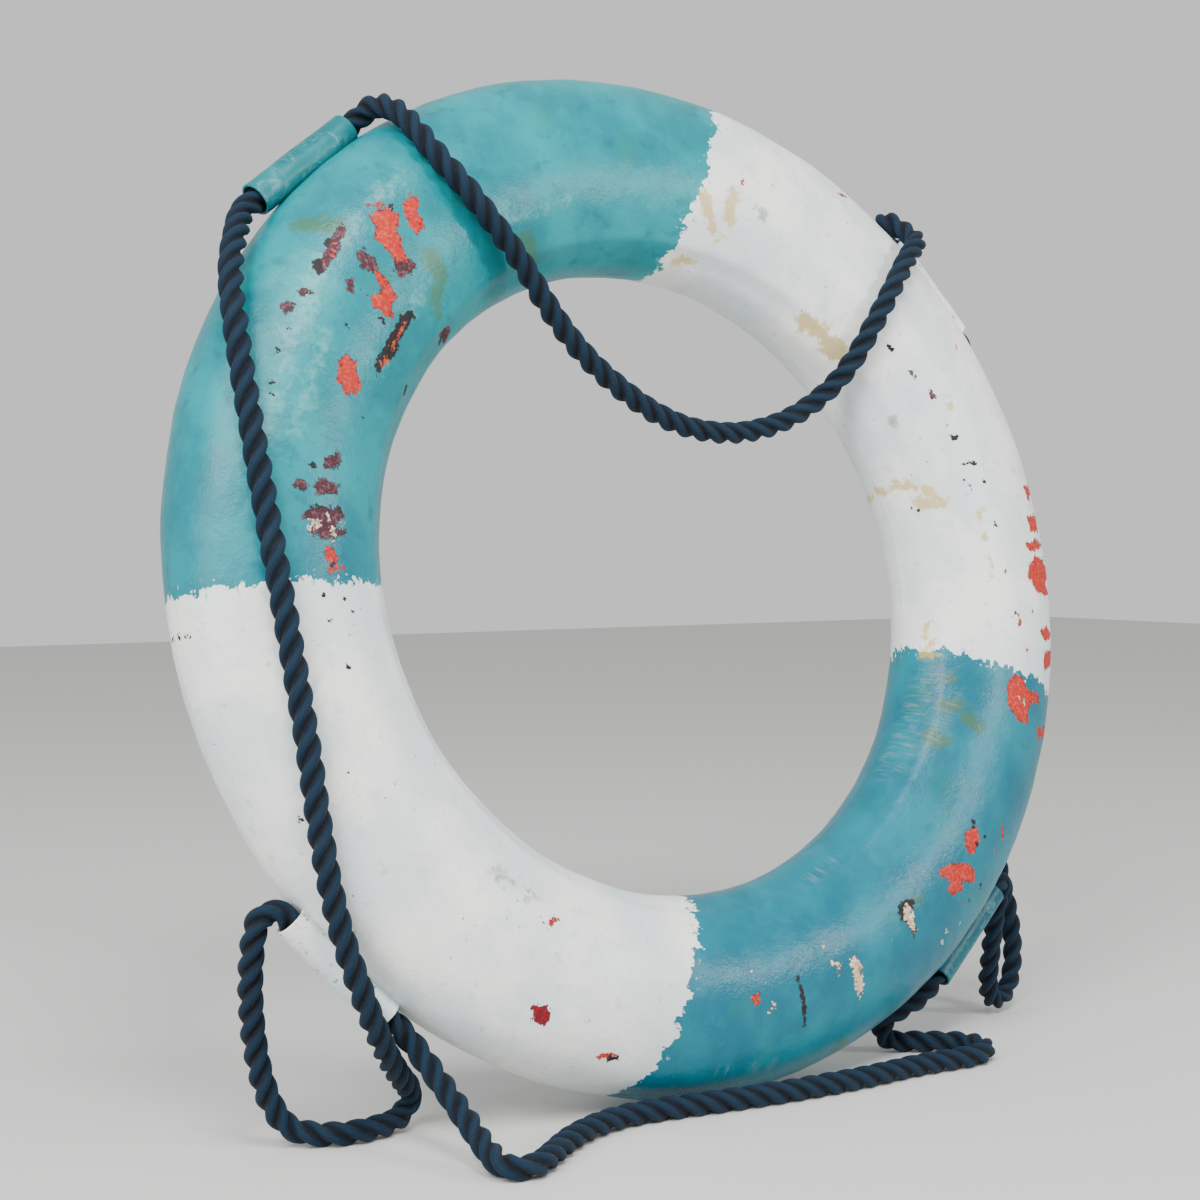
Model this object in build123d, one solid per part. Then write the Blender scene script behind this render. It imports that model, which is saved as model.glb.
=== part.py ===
"""Ring lifebuoy leaning back on its lower edge: a moulded shell in two halves over a foam core,
four rope sleeves on the rim and one grab rope through them, joined by a short splice.

Frame: +X to the right, +Y away from the front face, +Z up. The origin is the point of the
rim that stands on the floor. Millimetres.
"""

from build123d import *
from math import atan2, cos, degrees, radians, sin, tan
import os

# Ring
OUTER_RADIUS = 360.0
HALF_WIDTH = 69.0  # half of the section, across the band
HALF_THICKNESS = 50.5  # half of the section, along the ring's axis
SIDE_RADIUS = 42.0  # the section's tighter arcs, at the rim and at the hole
WALL = 2.5  # shell thickness
BEAD_RADIUS = 0.9  # weld bead where the two halves meet
LEAN = 12.0  # degrees from upright

# Foam filling holes in the rear half, each closed by a flush plug: angle round the ring
PLUG_ANGLES = {"foam_fill_plug": 180.0, "vent_plug": 0.0}
PLUG_HEAD_RADIUS = 13.0
PLUG_HEAD_DEPTH = 2.0
PLUG_SHANK_RADIUS = 9.0
PLUG_DEPTH = 7.0
PLUG_BOSS_RADIUS = 17.0

# Rope sleeves, straight tubes sunk into the rim: angle round the ring, how far the axis stands
# outside the rim, and how far the sleeve is turned from the tangent
SLEEVES = {
    "upper_right": (39.0, 5.5, 0.0),
    "upper_left": (131.0, 8.0, -3.0),
    "lower_left": (221.0, 5.5, 0.0),
    "lower_right": (311.0, 5.5, 0.0),
}
SLEEVE_LENGTH = 88.0
SLEEVE_RADIUS = 11.0
SLEEVE_BORE_RADIUS = 9.25
GROOVE_LENGTH = 170.0  # long enough for every groove to run out of the rim

# Grab rope
ROPE_RADIUS = 8.0
SPLICE_RADIUS = 10.5
SPLICE_LENGTH = 90.0
SPLICE_TAPER = 30.0
WHIPPING_RADIUS = 9.4
WHIPPING_LENGTH = 10.0

# Each free stretch of rope leaves a sleeve's end, goes through these points and enters the next
# sleeve's end. An end is (sleeve, side, straight run outside it); side 1 is the sleeve's
# anticlockwise end as seen from the front.
ROPE_SPANS = {
    "rope_span_left": {
        "start": ("upper_left", 1, 10.0),
        "end": ("lower_left", -1, 6.0),
        "points": [
            (-291, 109, 585), (-299, 95, 574), (-308, 82, 559), (-315, 68, 539), (-318, 55, 516),
            (-319, 45, 489), (-318, 36, 458), (-317, 26, 424), (-315, 15, 384), (-312, 5, 342),
            (-309, -4, 300),
            (-306, -12, 259), (-303, -16, 220), (-297, -16, 181), (-288, -14, 145),
            (-277, -14, 113), (-264, -9, 83), (-246, 8, 57), (-229, 26, 39), (-215, 41, 27),
            (-215, 45, 15), (-224, 42, 8), (-240, 34, 8), (-259, 31, 8), (-279, 38, 8),
            (-296, 51, 11), (-307, 53, 28), (-315, 50, 50), (-321, 46, 78), (-325, 39, 107),
            (-326, 34, 127), (-326, 30, 141), (-324.5, 27, 152.5), (-317, 25, 157.5),
        ],
    },
    "rope_span_bottom": {
        "start": ("lower_left", 1, 13.0),
        "end": ("lower_right", -1, 13.0),
        "points": [
            (-231, 1, 64), (-225, -10, 50), (-221, -25, 37), (-219, -45, 24), (-219, -67, 13),
            (-221, -90, 8), (-204, -99, 8), (-183, -82, 8), (-158, -61, 8), (-128, -44, 8),
            (-95, -36, 8), (-54, -41, 8), (-8, -49, 8), (44, -54, 8), (94, -55, 8),
            (138, -51, 8), (172, -54, 8), (199, -56, 8), (217, -42, 8), (216, -22, 8),
            (200, -8, 8), (183, 4, 8), (170, 14, 8), (161, 14, 16), (161, 9, 27), (171, 5, 33),
            (186, 2, 39),
        ],
    },
    "rope_span_right": {
        "start": ("lower_right", 1, 11.0),
        "end": ("upper_right", -1, 12.0),
        "points": [
            (292, 23, 115), (293, 31, 95), (296, 37, 73), (300, 44, 50), (305, 52, 27),
            (316, 59, 11), (335, 64, 11), (348, 69, 27), (352, 72, 50), (352, 77, 75),
            (350, 84, 102), (346, 93, 137), (341, 104, 185), (337, 117, 265), (335, 128, 396),
            (336, 130, 464), (334, 125, 497), (328, 115, 518),
        ],
        "splice_after": 14,
    },
    "rope_span_top": {
        "start": ("upper_left", -1, 10.0),
        "end": ("upper_right", 1, 13.0),
        "points": [
            (-192, 124, 667), (-188, 108, 666), (-184, 92, 658), (-180, 78, 645), (-172, 67, 629),
            (-158, 58, 611), (-139, 55, 589), (-114, 60, 565), (-90, 66, 536), (-60, 70, 507),
            (-26, 72, 484), (8, 73, 467), (42, 74, 459), (80, 75, 459), (118, 75, 469),
            (149, 71, 488), (166, 59, 511), (179, 51, 538), (197, 49, 568), (220, 58, 595),
            (245, 75, 609), (245, 92, 619), (238, 108, 630),
        ],
    },
}

# Derived sizes of the section: a four-centred oval
CENTRE_RADIUS = OUTER_RADIUS - HALF_WIDTH
SIDE_OFFSET = HALF_WIDTH - SIDE_RADIUS
FACE_RADIUS = (SIDE_OFFSET**2 + HALF_THICKNESS**2 - SIDE_RADIUS**2) / (
    2 * (HALF_THICKNESS - SIDE_RADIUS)
)
FACE_OFFSET = FACE_RADIUS - HALF_THICKNESS
SIDE_ANGLE = degrees(atan2(FACE_OFFSET, SIDE_OFFSET))

# The ring is drawn round the Y axis, front to -Y, then leant back onto its lower edge
STANDING_RADIUS = OUTER_RADIUS - SIDE_RADIUS
LEANING = Location(
    (
        0.0,
        STANDING_RADIUS * sin(radians(LEAN)),
        STANDING_RADIUS * cos(radians(LEAN)) + SIDE_RADIUS,
    ),
    (-LEAN, 0, 0),
)


def oval(inset=0.0):
    """The ring's section shrunk by inset: x from the ring's axis, y along it."""
    side, face = SIDE_RADIUS - inset, FACE_RADIUS - inset
    crown = 2 * (90 - SIDE_ANGLE)
    rim, hole = (CENTRE_RADIUS + SIDE_OFFSET, 0), (CENTRE_RADIUS - SIDE_OFFSET, 0)
    return make_face(
        [
            CenterArc(rim, side, -SIDE_ANGLE, 2 * SIDE_ANGLE),
            CenterArc((CENTRE_RADIUS, -FACE_OFFSET), face, SIDE_ANGLE, crown),
            CenterArc(hole, side, 180 - SIDE_ANGLE, 2 * SIDE_ANGLE),
            CenterArc((CENTRE_RADIUS, FACE_OFFSET), face, 180 + SIDE_ANGLE, crown),
        ]
    )


def half_ring(face, side):
    """The part of a section in front of (side -1) or behind (1) the weld, turned into a ring."""
    window = Pos(CENTRE_RADIUS, side * OUTER_RADIUS / 2) * Rectangle(OUTER_RADIUS, OUTER_RADIUS)
    return revolve(face & window, Axis.Y, 360)


def on_sleeve(name, along=0.0):
    """A sleeve's frame on the unleant ring, +Z anticlockwise along its axis."""
    angle, lift, skew = SLEEVES[name]
    round_ring = Location((0, 0, 0), (0, -angle, 0))
    return round_ring * Pos(OUTER_RADIUS + lift, 0, 0) * Rot(0, -skew, 0) * Pos(0, 0, along)


def sleeve_end(name, side, lead=0.0):
    """A point on a sleeve's axis, lead outside one of its ends, on the leaning ring."""
    return (LEANING * on_sleeve(name, side * (SLEEVE_LENGTH / 2 + lead))).position


def on_plug(angle, depth):
    """A plug's frame on the unleant ring, +Z out of the rear face."""
    round_ring = Location((0, 0, 0), (0, -angle, 0))
    return round_ring * Pos(CENTRE_RADIUS, HALF_THICKNESS - depth, 0) * Rot(-90, 0, 0)


def plug_blank(angle, allowance=0.0):
    """Head and shank of a plug, standing proud of the rear face by allowance."""
    parts = []
    for radius, depth in ((PLUG_HEAD_RADIUS, PLUG_HEAD_DEPTH), (PLUG_SHANK_RADIUS, PLUG_DEPTH)):
        cylinder = Cylinder(radius, depth + allowance, align=(Align.CENTER, Align.CENTER, Align.MIN))
        parts.append(on_plug(angle, depth) * cylinder)
    return parts[0] + parts[1]


def corner_radii(points):
    """An arc at each corner, taking up 0.45 of the shorter run beside it."""
    radii = []
    for before, here, after in zip(points, points[1:], points[2:]):
        run_in, run_out = here - before, after - here
        half_turn = radians(run_in.get_angle(run_out)) / 2
        radii.append(0.45 * min(run_in.length, run_out.length) / tan(half_turn))
    return radii


def rope(name, points):
    """A plain tube of rope through the points, with its radii and length printed."""
    radii = corner_radii(points)
    path = FilletPolyline(*points, radius=radii)
    tube = sweep(Plane(origin=path @ 0, z_dir=path % 0) * Circle(ROPE_RADIUS), path=path)
    section = Circle(ROPE_RADIUS).area
    print(name, "length", round(path.length, 1), "by volume", round(tube.volume / section, 1))
    print("  radii", [round(radius, 1) for radius in radii])
    return tube


def tube_along(start, end, radius, bore=0.0):
    """A straight cylinder between two points, with an optional bore."""
    run = end - start
    profile = Circle(radius) - Circle(bore) if bore else Circle(radius)
    return extrude(Plane(origin=start, z_dir=run.normalized()) * profile, run.length)


def splice_barrel(start, end):
    """The thickened stretch where the rope's two ends are tucked into each other."""
    half = SPLICE_LENGTH / 2
    outline = Polyline(
        (0, -half), (ROPE_RADIUS, -half), (SPLICE_RADIUS, SPLICE_TAPER - half),
        (SPLICE_RADIUS, half - SPLICE_TAPER), (ROPE_RADIUS, half), (0, half), close=True,
    )
    barrel = revolve(Plane.XZ * make_face(outline), Axis.Z, 360)
    return Plane(origin=(start + end) / 2, z_dir=(end - start).normalized()).location * barrel


parts = {}

# Shell: two halves of a hollow oval, with walled grooves for the sleeves and bosses for the plugs
solid_ring = revolve(oval(), Axis.Y, 360)
beads = Pos(OUTER_RADIUS, 0) * Circle(BEAD_RADIUS)
beads += Pos(OUTER_RADIUS - 2 * HALF_WIDTH, 0) * Circle(BEAD_RADIUS)
shell_section = oval() + beads - oval(WALL)
grooves = [on_sleeve(name) * Cylinder(SLEEVE_RADIUS, GROOVE_LENGTH) for name in SLEEVES]
saddles = [on_sleeve(name) * Cylinder(SLEEVE_RADIUS + WALL, GROOVE_LENGTH) for name in SLEEVES]
bosses = [
    on_plug(angle, PLUG_DEPTH)
    * Cylinder(PLUG_BOSS_RADIUS, 2 * PLUG_DEPTH, align=(Align.CENTER, Align.CENTER, Align.MIN))
    for angle in PLUG_ANGLES.values()
]
plug_blanks = {name: plug_blank(angle, PLUG_DEPTH) for name, angle in PLUG_ANGLES.items()}
for node, side in (("front_shell", -1), ("rear_shell", 1)):
    half_solid = half_ring(oval(), side)
    shell = half_ring(shell_section, side)
    for saddle in saddles:
        shell += saddle & half_solid
    for groove in grooves:
        shell -= groove
    if side > 0:
        for boss in bosses:
            shell += boss & half_solid
        for blank in plug_blanks.values():
            shell -= blank
    parts[node] = shell
for name, blank in plug_blanks.items():
    parts[name] = blank & solid_ring

# Foam fills what the shell encloses
foam = revolve(oval(WALL), Axis.Y, 360)
for hollow in saddles + bosses:
    foam -= hollow
parts["foam_core"] = foam

parts = {node: LEANING * shape for node, shape in parts.items()}

# Sleeves, and the rope inside them
for name in SLEEVES:
    ends = sleeve_end(name, -1), sleeve_end(name, 1)
    parts["sleeve_" + name] = tube_along(*ends, SLEEVE_RADIUS, SLEEVE_BORE_RADIUS)
    parts["rope_in_" + name] = tube_along(*ends, ROPE_RADIUS)

# Free rope
for node, span in ROPE_SPANS.items():
    points = [sleeve_end(*span["start"][:2]), sleeve_end(*span["start"])]
    points += [Vector(*point) for point in span["points"]]
    points += [sleeve_end(*span["end"]), sleeve_end(*span["end"][:2])]
    if "splice_after" not in span:
        parts[node] = rope(node, points)
        continue
    # The splice lies in the middle of the straight run that follows this many points
    below = span["splice_after"] + 1
    middle = (points[below] + points[below + 1]) / 2
    rise = (points[below + 1] - points[below]).normalized()
    foot, head = middle - rise * SPLICE_LENGTH / 2, middle + rise * SPLICE_LENGTH / 2
    parts[node + "_lower"] = rope(node + "_lower", points[: below + 1] + [foot])
    parts[node + "_upper"] = rope(node + "_upper", [head] + points[below + 1 :])
    parts["rope_splice"] = splice_barrel(foot, head)
    wrap = rise * WHIPPING_LENGTH
    parts["whipping_lower"] = tube_along(foot - wrap, foot, WHIPPING_RADIUS, ROPE_RADIUS)
    parts["whipping_upper"] = tube_along(head, head + wrap, WHIPPING_RADIUS, ROPE_RADIUS)

os.makedirs("parts", exist_ok=True)
for node, shape in parts.items():
    export_step(shape, f"parts/{node}.step")
    print(node, round(shape.volume))
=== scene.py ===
"""Ring lifebuoy leaning back on its lower edge, with rope sleeves and a navy grab rope."""

import math

import bpy
import numpy as np
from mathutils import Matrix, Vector


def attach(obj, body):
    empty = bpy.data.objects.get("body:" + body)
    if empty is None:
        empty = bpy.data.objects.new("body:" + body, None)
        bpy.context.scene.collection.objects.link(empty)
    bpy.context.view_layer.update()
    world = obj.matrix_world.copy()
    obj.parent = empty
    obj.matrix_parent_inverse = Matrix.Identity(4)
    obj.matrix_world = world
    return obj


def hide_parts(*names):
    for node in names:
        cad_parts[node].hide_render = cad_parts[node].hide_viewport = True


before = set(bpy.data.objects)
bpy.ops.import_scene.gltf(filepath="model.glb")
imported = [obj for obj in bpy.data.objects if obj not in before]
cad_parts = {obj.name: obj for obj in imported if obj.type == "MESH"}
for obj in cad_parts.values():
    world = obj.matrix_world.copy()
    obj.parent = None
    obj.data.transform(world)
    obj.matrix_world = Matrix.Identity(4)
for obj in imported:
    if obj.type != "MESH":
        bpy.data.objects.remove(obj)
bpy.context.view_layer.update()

# ---------------------------------------------------------------- camera
CAMERA_PLACE = (-0.8233, -1.1491, 0.3877)
CAMERA_DOWN, CAMERA_HEADING = 5.69, -35.83  # degrees below level, and round from straight ahead
FILM_WIDTH, FOCAL_LENGTH = 36.0, 62.19  # millimetres
FILM_SHIFT = (-0.1027, 0.1157)

camera = bpy.data.objects.new("camera", bpy.data.cameras.new("camera"))
bpy.context.scene.collection.objects.link(camera)
bpy.context.scene.camera = camera
camera.location = CAMERA_PLACE
camera.rotation_euler = (math.radians(90 - CAMERA_DOWN), 0, math.radians(CAMERA_HEADING))
camera.data.sensor_width = FILM_WIDTH
camera.data.lens = FOCAL_LENGTH
camera.data.shift_x, camera.data.shift_y = FILM_SHIFT

# ---------------------------------------------------------------- sizes, in metres
OUTER_RADIUS, HALF_WIDTH, HALF_THICKNESS, SIDE_RADIUS = 0.360, 0.069, 0.0505, 0.042
# The section is two small side arcs, at the rim and the hole, joined by two large face arcs
CENTRE_RADIUS = OUTER_RADIUS - HALF_WIDTH
SIDE_OFFSET = HALF_WIDTH - SIDE_RADIUS
FACE_RADIUS = (SIDE_OFFSET**2 + HALF_THICKNESS**2 - SIDE_RADIUS**2) / (
    2 * (HALF_THICKNESS - SIDE_RADIUS)
)
FACE_OFFSET = FACE_RADIUS - HALF_THICKNESS
SIDE_ANGLE = math.degrees(math.atan2(FACE_OFFSET, SIDE_OFFSET))
LEAN = math.radians(12.0)
STANDING_RADIUS = OUTER_RADIUS - SIDE_RADIUS
RING_CENTRE = np.array(
    [0.0, STANDING_RADIUS * math.sin(LEAN), STANDING_RADIUS * math.cos(LEAN) + SIDE_RADIUS]
)
# Each sleeve's place round the ring in degrees, how far it stands out of the rim, and its skew
SLEEVES = {
    "upper_right": (39.0, 0.0055, 0.0),
    "upper_left": (131.0, 0.0080, -3.0),
    "lower_left": (221.0, 0.0055, 0.0),
    "lower_right": (311.0, 0.0055, 0.0),
}
SLEEVE_LENGTH, SLEEVE_RADIUS, SLEEVE_BORE = 0.088, 0.011, 0.00925
ROPE_RADIUS = 0.008
SPLICE_LENGTH, SPLICE_TAPER, SPLICE_END_RADIUS, SPLICE_CORE_RADIUS = 0.090, 0.030, 0.0079, 0.0100
WHIPPING_LENGTH, WHIPPING_RADIUS, WHIPPING_TURNS = 0.010, 0.0090, 8
STRAND_RADIUS = 0.505 * ROPE_RADIUS  # each strand's centre is as far from the rope's centre
GROOVE_RADIUS = 0.62 * ROPE_RADIUS  # from the rope's centre to the bottom of a groove
RIB_HEIGHT, WAVER = 0.00007, 0.012  # of the yarns, and how uneven the strands are
LAY = 0.0465  # one full turn of a strand
YARNS, YARN_SLANT = 30, 1.12  # yarns seen round the rope, and their turns in each turn of a strand
ROPE_INTO_SLEEVE = 0.010  # how far each visible stretch runs on into a sleeve
INSIDE_ROPE_LEAD = -0.011  # the rope inside a sleeve starts 1 mm further in


def lean(points):
    """From the upright ring's frame (axis Y, centre at the origin) to the object's frame."""
    p = np.asarray(points, float)
    c, s = math.cos(LEAN), math.sin(LEAN)
    x, y, z = p[..., 0], p[..., 1], p[..., 2]
    return np.stack([x, y * c + z * s, z * c - y * s], -1) + RING_CENTRE


def sleeve_end(name, side, lead=0.0):
    """A point on a sleeve's axis, lead metres past its end; side 1 is its end further
    anticlockwise, seen from the front, and -1 is its other end."""
    angle, lift, skew = SLEEVES[name]
    a, t = math.radians(angle), math.radians(angle + skew)
    out = (OUTER_RADIUS + lift) * np.array([math.cos(a), 0, math.sin(a)])
    along = np.array([-math.sin(t), 0, math.cos(t)])
    return lean(out + side * (SLEEVE_LENGTH / 2 + lead) * along)


def link(obj):
    bpy.context.scene.collection.objects.link(obj)
    return obj


def grid_mesh(name, rings, closed=True, caps=False, uv=None):
    """A mesh through rings of points (n, m, 3); uv holds each point's (u, v), (n, m + 1, 2)."""
    n, m = rings.shape[:2]
    wide = m if closed else m - 1
    i, j = np.meshgrid(np.arange(n - 1), np.arange(wide), indexing="ij")
    j2 = (j + 1) % m
    quads = np.stack([i * m + j, i * m + j2, (i + 1) * m + j2, (i + 1) * m + j], -1).reshape(-1, 4)
    mesh = bpy.data.meshes.new(name)
    mesh.vertices.add(n * m)
    mesh.vertices.foreach_set("co", rings.reshape(-1).astype(np.float32))
    ends = [list(range(m))[::-1], list(range((n - 1) * m, n * m))] if caps else []
    loops = np.concatenate([quads.reshape(-1)] + [np.array(e) for e in ends])
    starts = np.concatenate(
        [np.arange(len(quads)) * 4] + [[len(quads) * 4 + k * m] for k in range(len(ends))]
    )
    mesh.loops.add(len(loops))
    mesh.loops.foreach_set("vertex_index", loops.astype(np.int32))
    mesh.polygons.add(len(starts))
    mesh.polygons.foreach_set("loop_start", starts.astype(np.int32))
    if uv is not None:
        layer = mesh.uv_layers.new(name="UVMap")
        jj = np.stack([j, j + 1, j + 1, j], -1).reshape(-1)
        ii = np.stack([i, i, i + 1, i + 1], -1).reshape(-1)
        flat = np.zeros((len(loops), 2))
        flat[: len(jj)] = uv[ii, jj]
        layer.data.foreach_set("uv", flat.reshape(-1).astype(np.float32))
    mesh.update()
    mesh.validate()
    mesh.shade_smooth()
    return mesh


# ---------------------------------------------------------------- grab rope
# The route of each free stretch in millimetres, between its two sleeve ends: each end is the
# sleeve, which of its ends, and how far straight out the rope runs before it turns
ROUTES = {
    "left": (("upper_left", 1, 10.0), ("lower_left", -1, 6.0), [
        (-291, 109, 585), (-299, 95, 574), (-308, 82, 559), (-315, 68, 539), (-318, 55, 516),
        (-319, 45, 489), (-318, 36, 458), (-317, 26, 424), (-315, 15, 384), (-312, 5, 342),
        (-309, -4, 300),
        (-306, -12, 259), (-303, -16, 220), (-297, -16, 181), (-288, -14, 145),
        (-277, -14, 113), (-264, -9, 83), (-246, 8, 57), (-229, 26, 39), (-215, 41, 27),
        (-215, 45, 15), (-224, 42, 8), (-240, 34, 8), (-259, 31, 8), (-279, 38, 8),
        (-296, 51, 11), (-307, 53, 28), (-315, 50, 50), (-321, 46, 78), (-325, 39, 107),
        (-326, 34, 127), (-326, 30, 141), (-324.5, 27, 152.5), (-317, 25, 157.5),
    ]),
    "bottom": (("lower_left", 1, 13.0), ("lower_right", -1, 13.0), [
        (-231, 1, 64), (-225, -10, 50), (-221, -25, 37), (-219, -45, 24), (-219, -67, 13),
        (-221, -90, 8), (-204, -99, 8), (-183, -82, 8), (-158, -61, 8), (-128, -44, 8),
        (-95, -36, 8), (-54, -41, 8), (-8, -49, 8), (44, -54, 8), (94, -55, 8),
        (138, -51, 8), (172, -54, 8), (199, -56, 8), (217, -42, 8), (216, -22, 8),
        (200, -8, 8), (183, 4, 8), (170, 14, 8), (161, 14, 16), (161, 9, 27), (171, 5, 33),
        (186, 2, 39),
    ]),
    "right": (("lower_right", 1, 11.0), ("upper_right", -1, 12.0), [
        (292, 23, 115), (293, 31, 95), (296, 37, 73), (300, 44, 50), (305, 52, 27),
        (316, 59, 11), (335, 64, 11), (348, 69, 27), (352, 72, 50), (352, 77, 75),
        (350, 84, 102), (346, 93, 137), (341, 104, 185), (337, 117, 265), "splice",
        (335, 128, 396), (336, 130, 464), (334, 125, 497), (328, 115, 518),
    ]),
    "top": (("upper_left", -1, 10.0), ("upper_right", 1, 13.0), [
        (-192, 124, 667), (-188, 108, 666), (-184, 92, 658), (-180, 78, 645), (-172, 67, 629),
        (-158, 58, 611), (-139, 55, 589), (-114, 60, 565), (-90, 66, 536), (-60, 70, 507),
        (-26, 72, 484), (8, 73, 467), (42, 74, 459), (80, 75, 459), (118, 75, 469),
        (149, 71, 488), (166, 59, 511), (179, 51, 538), (197, 49, 568), (220, 58, 595),
        (245, 75, 609), (245, 92, 619), (238, 108, 630),
    ]),
}


def control_points(name):
    """The route's control points in metres, the splice's two ends among them, and those ends."""
    start, end, middle = ROUTES[name]
    points = [sleeve_end(*start[:2]), sleeve_end(start[0], start[1], start[2] / 1000)]
    splice = None
    for k, point in enumerate(middle):
        if point == "splice":
            a, b = np.array(middle[k - 1]) / 1000, np.array(middle[k + 1]) / 1000
            half = (b - a) / np.linalg.norm(b - a) * SPLICE_LENGTH / 2
            splice = (a + b) / 2 - half, (a + b) / 2 + half
            points += splice
        else:
            points.append(np.array(point) / 1000)
    points += [sleeve_end(end[0], end[1], end[2] / 1000), sleeve_end(*end[:2])]
    return points, splice


def spline_line(name, points):
    """Points on the smooth NURBS spline that has these control points."""
    curve = bpy.data.curves.new(name, "CURVE")
    curve.dimensions = "3D"
    curve.resolution_u = 24
    spline = curve.splines.new("NURBS")
    spline.points.add(len(points) - 1)
    for target, point in zip(spline.points, points):
        target.co = (*point, 1.0)
    spline.order_u = 3
    spline.use_endpoint_u = True
    obj = link(bpy.data.objects.new(name, curve))
    mesh = bpy.data.meshes.new_from_object(obj)
    line = np.array([v.co[:] for v in mesh.vertices])
    bpy.data.objects.remove(obj)
    bpy.data.curves.remove(curve)
    bpy.data.meshes.remove(mesh)
    return line


def even(line, step):
    """The same line with points a step apart."""
    gaps = np.linalg.norm(np.diff(line, axis=0), axis=1)
    keep = np.r_[True, gaps > 1e-7]
    line = line[keep]
    run = np.r_[0, np.cumsum(np.linalg.norm(np.diff(line, axis=0), axis=1))]
    where = np.linspace(0, run[-1], max(4, int(round(run[-1] / step)) + 1))
    return np.stack([np.interp(where, run, line[:, k]) for k in range(3)], -1)


def lengthened(line, extra):
    """The line with a straight stretch added at both ends."""
    first, last = line[0] - line[1], line[-1] - line[-2]
    first, last = first / np.linalg.norm(first), last / np.linalg.norm(last)
    return np.vstack([line[0] + first * extra, line, line[-1] + last * extra])


def side_vectors(line):
    """Two side vectors at each point that turn with the line and never spin about it."""
    tangent = np.gradient(line, axis=0)
    tangent /= np.linalg.norm(tangent, axis=1)[:, None]
    side = np.cross(tangent[0], [0.3, 0.2, 1.0])
    side /= np.linalg.norm(side)
    sides = []
    for t in tangent:
        side = side - t * (side @ t)
        side /= np.linalg.norm(side)
        sides.append(side.copy())
    sides = np.array(sides)
    return sides, np.cross(tangent, sides)


def tube_rings(line, radius, angle):
    """Rings of points round the line, at those distances from it and angles round it."""
    side, other = side_vectors(line)
    return (
        line[:, None]
        + (radius * np.cos(angle))[..., None] * side[:, None]
        + (radius * np.sin(angle))[..., None] * other[:, None]
    )


def rope_radius(angle):
    """Outline of three round strands pressed together; angle 0 is a strand's crest."""
    a = (angle + math.pi / 3) % (2 * math.pi / 3) - math.pi / 3
    across = STRAND_RADIUS * np.sin(a)
    return STRAND_RADIUS * np.cos(a) + np.sqrt(STRAND_RADIUS**2 - across**2)


def rope_mesh(name, line, around=45, step=0.0011):
    """A three-strand rope along the line, and the evenly spaced line that it follows."""
    line = even(line, step)
    run = np.r_[0, np.cumsum(np.linalg.norm(np.diff(line, axis=0), axis=1))]
    column = np.arange(around + 1) / around
    own = column[None, :-1] * 2 * math.pi
    # The grooves are shallower than between free strands, because the strands are pressed flat
    radius = np.maximum(rope_radius(own), GROOVE_RADIUS) * np.ones((len(line), 1))
    # Yarns show as fine ribs that run nearly along the rope
    turn = run[:, None] / LAY
    ribs = np.sin(2 * math.pi * YARNS * (column[None, :-1] + YARN_SLANT * turn))
    radius = radius + RIB_HEIGHT * ribs
    # The hand-laid strands are never quite even
    waver = np.sin(run * 61.0) * 0.5 + np.sin(run * 143.0 + 1.0) * 0.5
    radius = radius * (1 + WAVER * waver[:, None])
    rings = tube_rings(line, radius, own + turn * 2 * math.pi)
    uv = np.stack(np.broadcast_arrays(column[None, :], turn), -1)
    return grid_mesh(name, rings, caps=True, uv=uv), line


def new_material(name):
    material = bpy.data.materials.new(name)
    material.use_nodes = True
    tree = material.node_tree
    shader = next(node for node in tree.nodes if node.type == "BSDF_PRINCIPLED")
    return material, tree, shader


def feed(tree, socket, value):
    """Link an output to a socket, or set a number, vector or colour on it."""
    if isinstance(value, bpy.types.NodeSocket):
        tree.links.new(value, socket)
    elif socket.type == "RGBA":
        socket.default_value = (*value, 1.0)
    else:
        socket.default_value = value


def node(tree, kind, inputs=None, **settings):
    made = tree.nodes.new(kind)
    for key, value in settings.items():
        setattr(made, key, value)
    for key, value in (inputs or {}).items():
        feed(tree, made.inputs[key], value)
    return made


def math_node(tree, operation, *values):
    made = node(tree, "ShaderNodeMath", operation=operation)
    for socket, value in zip(made.inputs, values):
        feed(tree, socket, value)
    return made.outputs[0]


def mix_colour(tree, factor, a, b, blend="MIX"):
    """The colour a, turned into b where factor is 1."""
    made = node(tree, "ShaderNodeMix", data_type="RGBA", blend_type=blend)
    for number, value in ((0, factor), (6, a), (7, b)):
        feed(tree, made.inputs[number], value)
    return made.outputs[2]


def ramp(tree, value, low, high, a=0.0, b=1.0):
    """A smooth step from a at low to b at high."""
    inputs = {"Value": value, "From Min": low, "From Max": high, "To Min": a, "To Max": b}
    return node(tree, "ShaderNodeMapRange", inputs, interpolation_type="SMOOTHSTEP").outputs[0]


def noise_of(tree, vector, scale, detail, roughness, distortion=0.0):
    inputs = {"Vector": vector, "Scale": scale, "Detail": detail, "Roughness": roughness,
              "Distortion": distortion}
    return node(tree, "ShaderNodeTexNoise", inputs).outputs["Fac"]


def bump(tree, height, strength, distance, after=None):
    made = node(tree, "ShaderNodeBump", {"Height": height, "Strength": strength, "Distance": distance})
    if after is not None:
        tree.links.new(after, made.inputs["Normal"])
    return made.outputs[0]


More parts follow.
